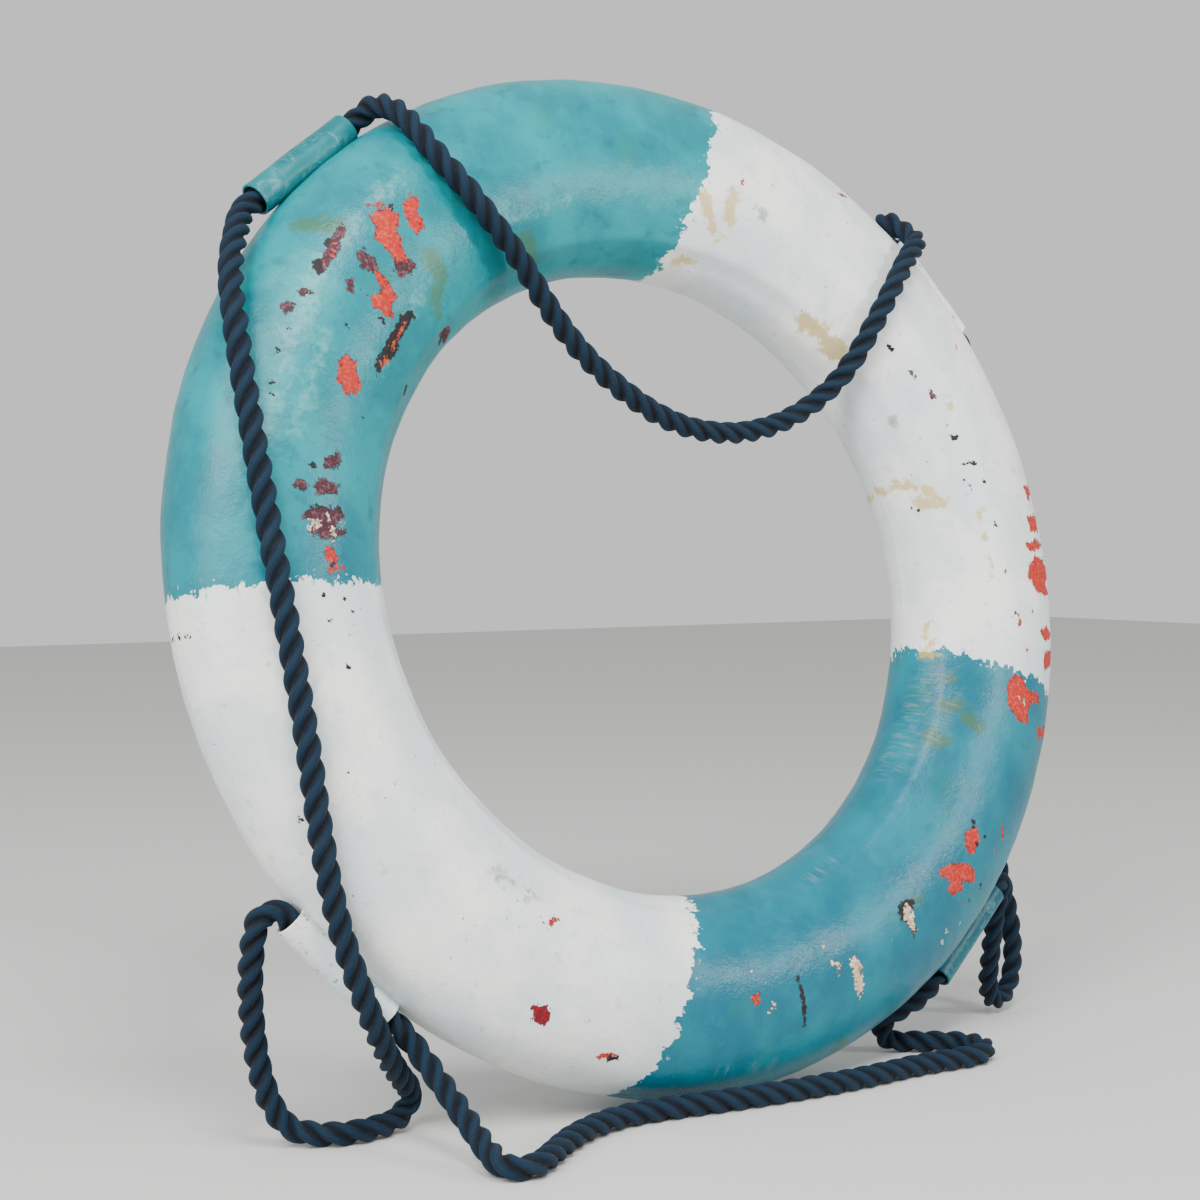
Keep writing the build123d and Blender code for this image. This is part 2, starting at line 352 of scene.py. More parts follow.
def rope_material():
    """Navy fibre: painted shade in the grooves and between the yarns, fine yarns and threads, and a dusting
    of fuzz.
    """
    material, tree, shader = new_material("navy_rope")
    uv = node(tree, "ShaderNodeUVMap", uv_map="UVMap").outputs[0]
    place = node(tree, "ShaderNodeTexCoord").outputs["Object"]
    parts = node(tree, "ShaderNodeSeparateXYZ", {"Vector": uv})
    across, along = parts.outputs["X"], parts.outputs["Y"]
    fibre = math_node(tree, "ADD", across, math_node(tree, "MULTIPLY", along, YARN_SLANT))
    yarn = math_node(tree, "SINE", math_node(tree, "MULTIPLY", fibre, 2 * math.pi * YARNS))
    thread = math_node(tree, "SINE", math_node(tree, "MULTIPLY", fibre, 6 * math.pi * YARNS))
    crest = math_node(tree, "COSINE", math_node(tree, "MULTIPLY", across, 6 * math.pi))
    fuzz = noise_of(tree, place, 900, 4, 0.65)
    patch = noise_of(tree, place, 35, 3, 0.5)
    # Painted shade: darker from each strand's crest down into the grooves, and in the troughs between yarns
    colour = mix_colour(tree, ramp(tree, crest, -1.0, 0.9), (0.0008, 0.003, 0.008), (0.002, 0.019, 0.043))
    colour = mix_colour(tree, ramp(tree, yarn, -1.0, 0.6, 0.45, 0.0), colour, (0.0008, 0.003, 0.007))
    colour = mix_colour(tree, ramp(tree, fuzz, 0.5, 0.8, 0.0, 0.3), colour, (0.014, 0.044, 0.076))
    colour = mix_colour(tree, ramp(tree, patch, 0.55, 0.8, 0.0, 0.3), colour, (0.020, 0.036, 0.046))
    tree.links.new(colour, shader.inputs["Base Color"])
    shader.inputs["Roughness"].default_value = 0.72
    shader.inputs["Specular IOR Level"].default_value = 0.2
    shader.inputs["Sheen Weight"].default_value = 0.03
    shader.inputs["Sheen Roughness"].default_value = 0.5
    height = math_node(tree, "ADD", math_node(tree, "MULTIPLY", yarn, 0.5),
                       math_node(tree, "MULTIPLY", thread, 0.2))
    normal = bump(tree, height, 0.7, 0.0003)
    tree.links.new(bump(tree, fuzz, 0.35, 0.0004, normal), shader.inputs["Normal"])
    return material


rope_look = rope_material()
FINE_STEP = 0.0003  # between the rings of the splice and the whippings


def straight(a, b, step=0.001):
    """Points a step apart on the straight line from a to b."""
    return np.linspace(a, b, max(3, int(np.linalg.norm(np.subtract(b, a)) / step) + 1))


def swept(name, line, radius_of, around=48):
    """A closed tube along a line; radius_of(share of the line, angle) gives its radius."""
    share = np.linspace(0, 1, len(line))[:, None]
    column = np.arange(around + 1) / around
    angle = column[None, :-1] * 2 * math.pi
    radius = radius_of(share, angle) * np.ones((len(line), around))
    rings = tube_rings(line, radius, angle)
    length = np.linalg.norm(line[-1] - line[0])
    uv = np.stack(np.broadcast_arrays(column[None, :], share * length / LAY), -1)
    return grid_mesh(name, rings, caps=True, uv=uv)


def splice_radius(share, angle):
    """Two sets of tucked strands crossing over the rope, fattest in the middle."""
    at = share * SPLICE_LENGTH
    taper = np.clip(np.minimum(at, SPLICE_LENGTH - at) / SPLICE_TAPER, 0, 1)
    body = SPLICE_END_RADIUS + (SPLICE_CORE_RADIUS - SPLICE_END_RADIUS) * taper
    turn = 2 * math.pi * at / LAY
    over = np.cos(3 * angle - 3 * turn) * np.cos(3 * angle + 3.4 * turn)
    return body + 0.00075 * taper * over + 0.0004 * taper * np.cos(YARNS * angle)


def whipping_radius(share, angle):
    """Turns of twine side by side."""
    return WHIPPING_RADIUS + 0.0004 * np.abs(np.sin(math.pi * WHIPPING_TURNS * share + angle / 2))


for name, (start, end, _) in ROUTES.items():
    points, splice = control_points(name)
    line = lengthened(spline_line("route_" + name, points), ROPE_INTO_SLEEVE)
    mesh, path = rope_mesh("rope_" + name, line)
    rope = link(bpy.data.objects.new("grab_rope_" + name, mesh))
    mesh.materials.append(rope_look)
    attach(rope, "root")
    if splice:
        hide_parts("rope_span_right_lower", "rope_span_right_upper")
        foot, head = splice
        rise = (head - foot) / np.linalg.norm(head - foot)
        for node_name, a, b, shape, slot in (
            ("rope_splice", foot, head, splice_radius, "rope"),
            ("whipping_lower", foot - rise * WHIPPING_LENGTH, foot, whipping_radius, "twine"),
            ("whipping_upper", head, head + rise * WHIPPING_LENGTH, whipping_radius, "twine"),
        ):
            piece = swept("visual_" + node_name, straight(a, b, FINE_STEP), shape)
            piece.materials.append(rope_look)
            piece = link(bpy.data.objects.new("visual_" + node_name, piece))
            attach(piece, "root")
            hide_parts(node_name)
    else:
        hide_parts("rope_span_" + name)

for name in SLEEVES:
    inner = straight(sleeve_end(name, -1, INSIDE_ROPE_LEAD), sleeve_end(name, 1, INSIDE_ROPE_LEAD))
    mesh, _ = rope_mesh("rope_inside_" + name, inner)
    mesh.materials.append(rope_look)
    inside = link(bpy.data.objects.new("rope_inside_" + name, mesh))
    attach(inside, "root")
    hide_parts("rope_in_" + name)

# ---------------------------------------------------------------- ring
def section(angle):
    """Point of the ring's section, (distance from the ring's axis, along the axis), and its
    outward normal; angle in degrees: 0 at the rim, 90 on the front face, 180 in the hole."""
    a = np.asarray(angle, float) % 360.0
    c, s = np.cos(np.radians(a)), -np.sin(np.radians(a))
    face = np.abs(np.abs((a % 180.0) - 90.0)) < 90.0 - SIDE_ANGLE
    radius = np.where(face, FACE_RADIUS, SIDE_RADIUS)
    u = np.where(face, 0.0, np.where(np.cos(np.radians(a)) > 0, SIDE_OFFSET, -SIDE_OFFSET))
    v = np.where(face, np.where(s < 0, FACE_OFFSET, -FACE_OFFSET), 0.0)
    return CENTRE_RADIUS + u + radius * c, v + radius * s, c, s


def on_ring(turn, angle, lift=0.0):
    """A point on the leaning ring: turn in degrees round it from +X, angle round the section."""
    r, y, c, s = section(angle)
    r, y = r + lift * c, y + lift * s
    t = np.radians(turn)
    return lean(np.stack([r * np.cos(t), y * np.ones_like(t), r * np.sin(t)], -1))


def section_steps(low, high):
    """Section angles about 2.4 mm apart, closer together beside the weld at both ends."""
    edge = np.array([0.0, 0.7, 1.4, 2.2, 3.2, 5.0])
    inner = np.concatenate([
        np.linspace(8, SIDE_ANGLE, 15), np.linspace(SIDE_ANGLE, 180 - SIDE_ANGLE, 46)[1:-1],
        np.linspace(180 - SIDE_ANGLE, 172, 15),
    ])
    return low + (high - low) / 180.0 * np.concatenate([edge, inner, 180 - edge[::-1]])


# Where the paint changes, in degrees round the ring, at the rim and at the hole
BANDS = ((76.0, 85.5), (181.0, 181.0), (254.5, 265.0), (342.5, 345.0))


def band_distance(turn, angle):
    """Distance in metres into a turquoise band (positive) or a white one (negative)."""
    across = (1 - np.cos(np.radians(angle))) / 2
    edges = [rim + (hole - rim) * across for rim, hole in BANDS]
    radius = section(angle)[0]
    best = np.full(np.broadcast(turn, angle).shape, 1e3)
    inside = ((turn > edges[0]) & (turn < edges[1])) | ((turn > edges[2]) & (turn < edges[3]))
    for edge in edges:
        best = np.minimum(best, np.abs(turn - edge))
    return np.radians(best) * radius * np.where(inside, 1, -1)


# Patches where paint has chipped away, each an outline on the ring: degrees round the ring and
# round its section
PATCHES = {
    "red": [
        [(133.9, 71), (131.9, 74), (131, 74), (131, 79), (131.1, 82), (132.7, 84), (133.6, 89),
         (134.4, 95), (135.9, 93), (135.9, 88), (136, 84), (135.8, 78), (134.6, 77)],
        [(128.8, 77), (127.6, 77), (127.7, 82), (129, 85), (129.4, 91), (131, 91), (131.3, 88),
         (130.7, 84), (130.1, 79)],
        [(139.3, 87), (138.5, 92), (139.3, 96), (139.7, 102), (141.3, 102), (142.4, 105), (143.3, 100),
         (143.3, 95), (142.3, 92), (140.9, 95), (140.2, 91)],
        [(143.2, 69), (142.2, 69), (142.4, 71), (143.4, 70)],
        [(139.7, 68), (139.1, 68), (140.5, 71), (141.3, 71)],
        [(152.2, 92), (151, 95), (151.4, 99), (152.7, 101), (153.7, 105), (155.5, 103), (156, 98),
         (154.9, 94), (153.5, 93)],
        [(176.8, 98), (176.3, 104), (178, 104), (179.1, 101), (178.2, 98)],
        [(179.3, 98), (179.1, 107), (179.7, 107), (180.1, 99)],
        [(341.1, 93), (342.7, 90), (342.9, 84), (341.8, 78), (341.9, 69), (340.7, 66), (340, 75),
         (338.4, 76), (336.6, 74), (336.5, 83), (337.8, 90), (339.1, 93)],
        [(337.3, 65), (339.1, 47), (337.1, 41), (336.4, 61)],
        [(315.7, 91), (317.7, 89), (318.4, 86), (316.8, 82), (315, 80), (313.7, 84), (314.5, 87)],
        [(308.4, 92), (310.5, 90), (313.2, 80), (313.5, 74), (312.3, 70), (310.4, 77), (309.6, 74),
         (307.9, 77), (307.3, 83), (309, 83), (308, 89)],
        [(269.3, 88), (271, 89), (270.9, 86), (270, 83)],
        [(11.1, 63), (11.3, 46), (9.8, 46), (9, 62)],
        [(6.8, 69), (7.3, 46), (4.7, 56), (4.8, 70)],
        [(2.9, 77), (3.8, 64), (3, 50), (1.7, 72)],
        [(0, 76), (1.3, 65), (0.3, 45), (358.9, 45), (357.7, 58), (356.3, 45), (355.8, 68), (357.2, 75),
         (358.2, 78)],
        [(350.9, 70), (351.9, 61), (351.1, 44), (349.5, 64)],
        [(348.1, 65), (349.3, 44), (346.9, 48), (345.6, 64)],
    ],
    "maroon": [
        [(136.2, 92), (134.6, 94), (134.2, 99), (135.8, 100), (137.1, 97), (137.3, 93)],
        [(139.1, 77), (137.5, 78), (138, 82), (137.9, 87), (139.7, 89), (139.9, 84), (140.1, 82)],
        [(143.5, 67), (141.9, 68), (140, 66), (138.1, 66), (136.7, 66), (136.6, 69), (138.5, 70),
         (140, 72), (141.6, 72), (143.5, 72), (144, 69)],
        [(142.8, 80), (142, 82), (142.7, 85), (143.7, 86), (143.8, 83)],
        [(149.4, 63), (148.3, 65), (148.5, 68), (149.8, 68), (150.4, 66)],
        [(146.8, 66), (145.9, 70), (146.5, 72), (147.5, 68)],
        [(165.4, 97), (164, 102), (164.9, 105), (166.3, 102), (166.6, 97)],
        [(169.4, 84), (168.6, 87), (169, 91), (170.1, 90), (170.3, 85)],
        [(169.3, 93), (168.1, 96), (167.9, 101), (168.3, 105), (169.5, 103), (170.3, 95)],
        [(172.5, 89), (171.7, 93), (171.6, 99), (171.1, 106), (172.4, 108), (173.8, 105), (174.2, 109),
         (175.4, 105), (175.6, 97), (174.8, 91), (173.8, 94), (173.7, 89)],
        [(136.9, 135), (134.5, 135), (133.8, 148), (135.6, 158)],
    ],
    "black": [
        [(150.4, 108), (148.4, 107), (146.3, 107), (143.8, 108), (141.4, 107), (139.6, 110), (140, 113),
         (142, 113), (144.4, 113), (146.4, 114), (148.5, 111), (150.9, 110)],
        [(298.6, 96), (300.6, 96), (301.5, 91), (300.5, 88), (299.8, 81), (298.4, 79), (298.4, 85),
         (298.1, 89), (297.8, 92)],
    ],
    "ember": [
        [(146.3, 110), (144.5, 110), (142.2, 110), (141.2, 111), (142.7, 112), (144.6, 112),
         (146.2, 112)],
        [(148.9, 109), (147.6, 110), (147.6, 112), (149.3, 111)],
    ],
    "cream": [
        [(299.4, 94), (300.7, 93), (300.4, 88), (299.6, 81), (298.5, 80), (298.5, 86), (298.5, 90)],
        [(287.1, 89), (288.6, 89), (288.5, 82), (288.3, 75), (287.1, 68), (286.7, 76), (286.8, 82)],
    ],
    "crimson": [
        [(238.9, 67), (240.7, 71), (241.8, 67), (241.7, 62), (240, 62)],
    ],
}
# Small chips, stains and painted highlights: each a stroke between two such places, or a dot at
# one, and its width in millimetres
STROKES = {
    "red": [
        (133, 69, 131.5, 73, 1), (180, 99, 179.4, 106, 1.5), (0.7, 69, 357.9, 70, 8),
        (347.3, 81, 2.5), (352, 87, 350.7, 87, 1.5), (353.3, 77, 1.5), (32.4, 73, 32.8, 72, 2.5),
        (321.4, 71, 320.5, 67, 2.5), (318.1, 67, 1.5), (273.2, 83, 1.5), (309, 67, 1.5),
        (278, 71, 2), (249.9, 58, 251.4, 59, 4.5), (235.9, 100, 237.5, 105, 2), (236.5, 98, 2),
        (236.8, 106, 2), (74.5, 88, 74.4, 90, 2), (58.4, 60, 56.5, 55, 2.5),
    ],
    "maroon": [
        (142.6, 87, 142.7, 90, 2.5), (30.2, 104, 28.7, 104, 3), (34.4, 108, 33.2, 107, 1.5),
    ],
    "black": [
        (131.1, 75, 131.3, 77, 2.5), (135, 136, 135.8, 143, 3), (137.1, 147, 136.1, 143, 1),
        (148.1, 135, 149.4, 136, 2), (143.8, 100, 144.1, 102, 1.5), (142.7, 67, 143.4, 70, 4.5),
        (139.5, 66, 140.3, 66, 2.5), (158.3, 70, 1.5), (159.5, 71, 2), (151.5, 70, 1),
        (154.4, 69, 1), (166.6, 92, 2), (178.9, 101, 2), (148.5, 132, 149.4, 136, 2),
        (157.6, 110, 1), (171.9, 92, 171.6, 97, 1.5), (171.4, 104, 171.6, 106, 1),
        (40.1, 109, 39.3, 109, 1), (23.7, 104, 2.5), (21.3, 105, 21.3, 102, 2),
        (17.1, 105, 16.4, 98, 1.5), (13.2, 96, 1.5), (6.2, 96, 6.4, 95, 1.5), (358.9, 94, 1.5),
        (22.6, 46, 1.5), (13.1, 104, 1.5), (14.4, 106, 1.5), (1, 56, 1.5), (352.7, 90, 1.5),
        (12.6, 149, 2), (11.5, 142, 1.5), (318.4, 90, 317.8, 88, 2.5), (318, 80, 1.5),
        (312.9, 65, 2), (310.2, 65, 3), (316, 82, 1.5), (277.7, 91, 277.9, 82, 1),
        (277.9, 82, 277.9, 69, 1), (250.6, 57, 251.9, 59, 3.5), (184.7, 351, 185, 22, 1.5),
        (183.6, 105, 2), (186, 96, 1.5), (185.2, 108, 1.5), (192.3, 99, 1.5), (197.7, 86, 1),
        (182.9, 95, 2), (203.6, 82, 1), (205.7, 56, 1), (147.9, 89, 2),
    ],
    "cream": [
        (173.6, 91, 173.6, 96, 2), (172.1, 100, 173.7, 101, 1), (174.9, 103, 174.1, 103, 4),
        (173.2, 107, 3.5), (176.3, 101, 176.3, 103, 1.5), (174.5, 92, 174, 96, 1), (337.9, 41, 3),
        (339.8, 84, 339.3, 81, 2), (283.9, 92, 284, 90, 2.5), (285.2, 90, 284.6, 86, 3),
        (272.4, 80, 273.1, 83, 2), (280.3, 116, 1.5), (295, 85, 1), (303, 76, 1), (304.2, 66, 1.5),
        (303, 63, 1.5), (307.2, 61, 1), (283.6, 100, 1), (270.2, 99, 1),
    ],
    "ochre": [
        (16.7, 210, 17.6, 160, 3.5), (17.6, 160, 15.7, 131, 3), (15.2, 132, 14, 125, 2.5),
        (12.9, 140, 11.7, 119, 3.5), (15.4, 214, 11.7, 222, 2.5), (350.3, 219, 345, 218, 3),
        (351, 147, 346.8, 149, 2.5), (344.1, 151, 343.8, 137, 3.5), (346.4, 144, 344.2, 140, 2.5),
        (9, 102, 7.2, 104, 1.5), (5.4, 102, 4.1, 102, 1), (0.8, 102, 357.8, 103, 1.5),
        (26, 98, 2.5), (80.5, 101, 78, 116, 4.5), (75.4, 98, 75.6, 110, 3.5),
        (53.7, 138, 49.9, 133, 7), (48.3, 138, 45.6, 138, 7), (82.5, 147, 79.7, 143, 4.5),
        (76.9, 120, 75.3, 118, 3),
    ],
    "green": [
        (339.6, 125, 6), (334.2, 124, 335, 116, 5), (333.6, 112, 332.9, 106, 5),
        (327.6, 127, 327.5, 120, 6), (29, 130, 5), (302.4, 91, 2.5), (283.1, 35, 284.7, 41, 5.5),
        (113.7, 117, 113.4, 133, 5), (131.5, 101, 131.8, 109, 6.5), (133.8, 113, 135.4, 121, 6.5),
        (139.4, 49, 137.4, 66, 6.5), (226.3, 107, 227, 106, 2), (228.8, 106, 229.6, 106, 2.5),
        (231.9, 108, 232.8, 109, 2), (70.2, 101, 3.5),
    ],
    # Painted highlight: pale streaks along the front ridge of the upper left, and near the hole
    "pale": [
        (128, 68, 141, 69, 7), (141, 69, 152, 71, 12), (152, 71, 164, 72, 10),
        (150, 84, 163, 82, 8), (134, 108, 150, 110, 5), (106, 108, 120, 106, 4),
    ],
    "haze": [
        (341, 142, 331, 150, 26), (331, 150, 320, 156, 24), (336, 120, 326, 128, 12),
        (296, 140, 288, 136, 10), (266, 54, 274, 52, 8), (222, 108, 236, 112, 6),
    ],
}


def arc_length(angle):
    """Millimetres along the front of the section, from the rim."""
    side, face = np.radians(SIDE_RADIUS * 1000), np.radians(FACE_RADIUS * 1000)
    low, high = SIDE_ANGLE, 180 - SIDE_ANGLE
    return side * np.minimum(angle, low) + face * np.clip(angle - low, 0, high - low) + side * np.maximum(
        angle - high, 0)


FAR = 30.0  # millimetres from a patch or stroke, beyond which distance isn't worked out
NEAR_TURN, NEAR_ANGLE = 12, 40  # degrees from a patch's middle that it can reach


def patch_field(turn, angle, outlines):
    """Millimetres inside the nearest outline; negative outside it."""
    best = np.full(turn.shape, -FAR)
    radius = section(angle)[0] * 1000
    for outline in outlines:
        corners = np.array(outline, float)
        centre = np.angle(np.exp(1j * np.radians(corners[:, 0])).sum(), deg=True)
        away = (turn - centre + 180) % 360 - 180
        near = (np.abs(away) < NEAR_TURN) & (np.abs(angle - corners[:, 1].mean()) < NEAR_ANGLE)
        x, y = np.radians(away[near]) * radius[near], arc_length(angle[near])
        cx = np.radians((corners[:, 0] - centre + 180) % 360 - 180) * radius[near].mean()
        cy = arc_length(corners[:, 1])
        inside, distance = np.zeros(len(x), bool), np.full(len(x), FAR)
        for k in range(len(cx)):
            x0, y0, x1, y1 = cx[k - 1], cy[k - 1], cx[k], cy[k]
            along, up = x1 - x0, y1 - y0
            share = ((x - x0) * along + (y - y0) * up) / max(along**2 + up**2, 1e-6)
            share = np.clip(share, 0, 1)
            gap = np.hypot(x - x0 - share * along, y - y0 - share * up)
            distance = np.minimum(distance, gap)
            if y0 != y1:
                crossing = (y1 > y) != (y0 > y)
                inside ^= crossing & (x < (x0 - x1) * (y - y1) / (y0 - y1) + x1)
        best[near] = np.maximum(best[near], np.where(inside, distance, -distance))
    return best


SPREAD = {"ochre": 1.7, "green": 1.5, "pale": 1.2}  # how much wider a soft stain or painted highlight is than its stroke
LEAST_STROKE = 1.3  # millimetres, half the width of the thinnest stroke that the mesh can hold


def stroke_field(points, marks, spread):
    """Millimetres inside the nearest stroke; negative outside it."""
    best = np.full(len(points), -FAR)
    for turn, angle, *end, width in marks:
        a, b = on_ring(turn, angle) * 1000, on_ring(*(end or (turn, angle))) * 1000
        run = b - a
        share = np.clip((points - a) @ run / max(run @ run, 1e-9), 0, 1)
        away = np.linalg.norm(points - a - share[:, None] * run, axis=1)
        best = np.maximum(best, max(spread * width / 2, LEAST_STROKE) - away)
    return best


def lumps(points, size, count=14):
    """A gentle uneven field, about -1 to 1, with features of that size in metres. It is seeded by
    the size, so that pieces which meet have the same field along their joint."""
    waves = np.random.default_rng(int(size * 1e4))
    total = np.zeros(len(points))
    for _ in range(count):
        direction = waves.normal(size=3)
        direction *= 2 * math.pi / (size * waves.uniform(0.8, 1.8) * np.linalg.norm(direction))
        total += np.sin(points @ direction + waves.uniform(0, 2 * math.pi))
    return total / math.sqrt(count)


TURNS = 1200  # points round the ring
WELD_HEIGHT, WELD_WIDTH = 0.0002, 0.0012
# A soft ridge on the front, towards the hole, and the hollow beside it, in degrees round the section
CREASE_HEIGHT, CREASE_ANGLE, CREASE_SPREAD = 0.0011, 128, 6
HOLLOW_ANGLE, HOLLOW_SPREAD = 144, 9
MEAN_SECTION_RADIUS = 0.0603  # turns degrees round the section into texture distance
BAND_REACH = 60  # millimetres from a band's edge, beyond which the distance isn't needed
# Which fields each of the mesh's colour attributes holds, in red, green, blue and alpha
LAYERS = {
    "chips": ("red", "maroon", "black", "cream"),
    "stains_and_highlights": ("ochre", "green", "pale", "haze"),
    "scars": ("ember", "crimson", "crimson", "crimson"),
}


def ring_half(name, low, high):
    """Half of the shell's skin, from one weld line to the other over a face of the ring."""
    angle = section_steps(low, high)[:, None]
    turn = (np.arange(TURNS) * 360.0 / TURNS)[None, :]
    angle, turn = np.broadcast_arrays(angle, turn)
    flat = on_ring(turn, angle).reshape(-1, 3)
    to_weld = np.radians(90 - np.abs(np.abs(angle - 180) % 180 - 90)) * SIDE_RADIUS
    lift = WELD_HEIGHT * np.exp(-((to_weld / WELD_WIDTH) ** 2)).reshape(-1)
    crease = np.exp(-(((angle - CREASE_ANGLE) / CREASE_SPREAD) ** 2))
    crease = crease - np.exp(-(((angle - HOLLOW_ANGLE) / HOLLOW_SPREAD) ** 2))
    lift += CREASE_HEIGHT * crease.reshape(-1) * (0.7 + 0.3 * lumps(flat, 0.30))
    lift += 0.00030 * lumps(flat, 0.055) + 0.00010 * lumps(flat, 0.016)
    skin = on_ring(turn, angle, lift.reshape(angle.shape))
    wide = np.append(np.arange(TURNS), TURNS) * 2 * math.pi / TURNS * CENTRE_RADIUS
    arc = np.radians(angle[:, :1]) * MEAN_SECTION_RADIUS
    uv = np.stack(np.broadcast_arrays(wide[None, :], arc), -1)
    mesh = grid_mesh(name, skin, uv=uv)
    fields = {}
    for kind in sorted({*STROKES, *PATCHES}):
        field = stroke_field(flat * 1000, STROKES.get(kind, ()), SPREAD.get(kind, 1.0))
        if low < 90:  # the front half, where every patch is
            patches = patch_field(turn.reshape(-1), angle.reshape(-1), PATCHES.get(kind, ()))
            field = np.maximum(field, patches)
        fields[kind] = field
    for layer_name, kinds in LAYERS.items():
        values = np.stack([fields[kind] for kind in kinds], -1)
        layer = mesh.attributes.new(layer_name, "FLOAT_COLOR", "POINT")
        layer.data.foreach_set("color", values.reshape(-1).astype(np.float32))
    layer = mesh.attributes.new("band", "FLOAT", "POINT")
    into = band_distance(turn, angle).reshape(-1) * 1000
    layer.data.foreach_set("value", np.clip(into, -BAND_REACH, BAND_REACH).astype(np.float32))
    return mesh


def centred(tree, value, span):
    """A noise value, 0 to 1, turned into -span/2 to span/2."""
    return math_node(tree, "MULTIPLY", math_node(tree, "SUBTRACT", value, 0.5), span)


def scaled(tree, value, factor):
    """The value times a number."""
    return math_node(tree, "MULTIPLY", value, factor)


def paint_start(name):
    """A satin paint's material, and the places and noises that its colours and grain share."""
    material, tree, shader = new_material(name)
    shader.inputs["Specular IOR Level"].default_value = 0.30
    place = node(tree, "ShaderNodeTexCoord").outputs["Object"]
    noises = {
        "place": place,
        "fine": noise_of(tree, place, 620, 4, 0.6),
        "rough": noise_of(tree, place, 210, 5, 0.6),
        "mottle": noise_of(tree, place, 70, 5, 0.6),
        "cloud": noise_of(tree, place, 16, 4, 0.55),
        "tint": ramp(tree, noise_of(tree, place, 28, 4, 0.6), 0.55, 0.75, 0.0, 0.35),
        "above_floor": node(tree, "ShaderNodeSeparateXYZ", {"Vector": place}).outputs["Z"],
    }
    grain = math_node(tree, "ADD", scaled(tree, noises["fine"], 0.3), noises["mottle"])
    noises["height"] = math_node(tree, "ADD", grain, scaled(tree, noises["rough"], 0.5))
    return material, tree, shader, noises


def turquoise_coat(tree, noises):
    """Turquoise, bluer and darker towards the floor, with lighter, darker and green clouds."""
    mottle = noises["mottle"]
    upper = ramp(tree, noises["above_floor"], 0.22, 0.50)
    colour = mix_colour(tree, upper, (0.0, 0.112, 0.170), (0.0, 0.172, 0.208))
    lighter = mix_colour(tree, upper, (0.0, 0.172, 0.230), (0.0, 0.258, 0.285))
    colour = mix_colour(tree, ramp(tree, noises["cloud"], 0.38, 0.68), colour, lighter)
    colour = mix_colour(tree, ramp(tree, mottle, 0.50, 0.75, 0.0, 0.5), colour, lighter)
    dark = ramp(tree, mottle, 0.30, 0.45, 0.5, 0.0)
    colour = mix_colour(tree, dark, colour, (0.0, 0.110, 0.150))
    return mix_colour(tree, noises["tint"], colour, (0.015, 0.170, 0.120))


def white_coat(tree, noises):
    """White, clouded from bluish to cream, with grey pits, and painted shade near the floor."""
    cloudy = ramp(tree, noises["cloud"], 0.40, 0.70)
    colour = mix_colour(tree, cloudy, (0.640, 0.700, 0.715), (0.850, 0.840, 0.790))
    bluish = ramp(tree, noises["mottle"], 0.54, 0.74, 0.0, 0.55)
    colour = mix_colour(tree, bluish, colour, (0.470, 0.580, 0.600))
    pits = ramp(tree, noise_of(tree, noises["place"], 150, 4, 0.7), 0.62, 0.70, 0.0, 0.6)
    colour = mix_colour(tree, pits, colour, (0.400, 0.450, 0.450))
    # Painted shade: the white turns grey over its lowest 10 cm, where the floor's shadow falls
    grime_and_floor_shade = ramp(tree, noises["above_floor"], 0.01, 0.10, 0.45, 0.0)
    colour = mix_colour(tree, grime_and_floor_shade, colour, (0.400, 0.420, 0.410))
    return mix_colour(tree, scaled(tree, noises["tint"], 0.6), colour, (0.660, 0.640, 0.520))


def finish(tree, shader, colour, roughness, normal):
    for socket, value in (("Base Color", colour), ("Roughness", roughness), ("Normal", normal)):
        tree.links.new(value, shader.inputs[socket])


def sleeve_paint(name, coat, pale):
    """One coat, rubbed pale in streaks; the white one is worn through to teal and grimy."""
    material, tree, shader, noises = paint_start(name)
    streak = noise_of(tree, noises["place"], 95, 4, 0.6, 1.5)
    rubbed = ramp(tree, streak, 0.52, 0.72, 0.0, 0.6)
    colour = mix_colour(tree, rubbed, coat(tree, noises), pale)
    if coat is turquoise_coat:
        colour = mix_colour(tree, 1.0, colour, (0.80, 0.66, 0.66), "MULTIPLY")
    else:
        worn = ramp(tree, noise_of(tree, noises["place"], 120, 4, 0.7), 0.60, 0.66, 0.0, 0.8)
        colour = mix_colour(tree, worn, colour, (0.03, 0.28, 0.30))
        grime_and_floor_shade = ramp(tree, noises["rough"], 0.62, 0.70, 0.0, 0.7)
        colour = mix_colour(tree, grime_and_floor_shade, colour, (0.05, 0.06, 0.07))
    roughness = ramp(tree, streak, 0.3, 0.7, 0.34, 0.50)
    finish(tree, shader, colour, roughness, bump(tree, noises["height"], 0.35, 0.0006))
    return material


def banded(tree, noises, brush):
    """Both coats, with ragged brushed edges between them, and where the turquoise is."""
    rough = noises["rough"]
    into = node(tree, "ShaderNodeAttribute", attribute_name="band").outputs["Fac"]
    scallop = noise_of(tree, noises["place"], 95, 3, 0.55)
    ragged = math_node(tree, "ADD", centred(tree, brush, 9.0), centred(tree, rough, 14.0))
    ragged = math_node(tree, "ADD", ragged, centred(tree, scallop, 24.0))
    band = ramp(tree, math_node(tree, "ADD", into, ragged), -0.15, 0.15)
    colour = mix_colour(tree, band, white_coat(tree, noises), turquoise_coat(tree, noises))
    # Dry brush marks and flecks beside the edges
    beside = ramp(tree, math_node(tree, "ABSOLUTE", into), 9.0, 2.0)
    flecks = ramp(tree, math_node(tree, "ADD", rough, centred(tree, brush, 0.7)), 0.66, 0.70)
    drag = math_node(tree, "MULTIPLY", beside, flecks)
    flipped = mix_colour(tree, band, (0.10, 0.38, 0.42), (0.66, 0.74, 0.74))
    return mix_colour(tree, scaled(tree, drag, 0.85), colour, flipped), band


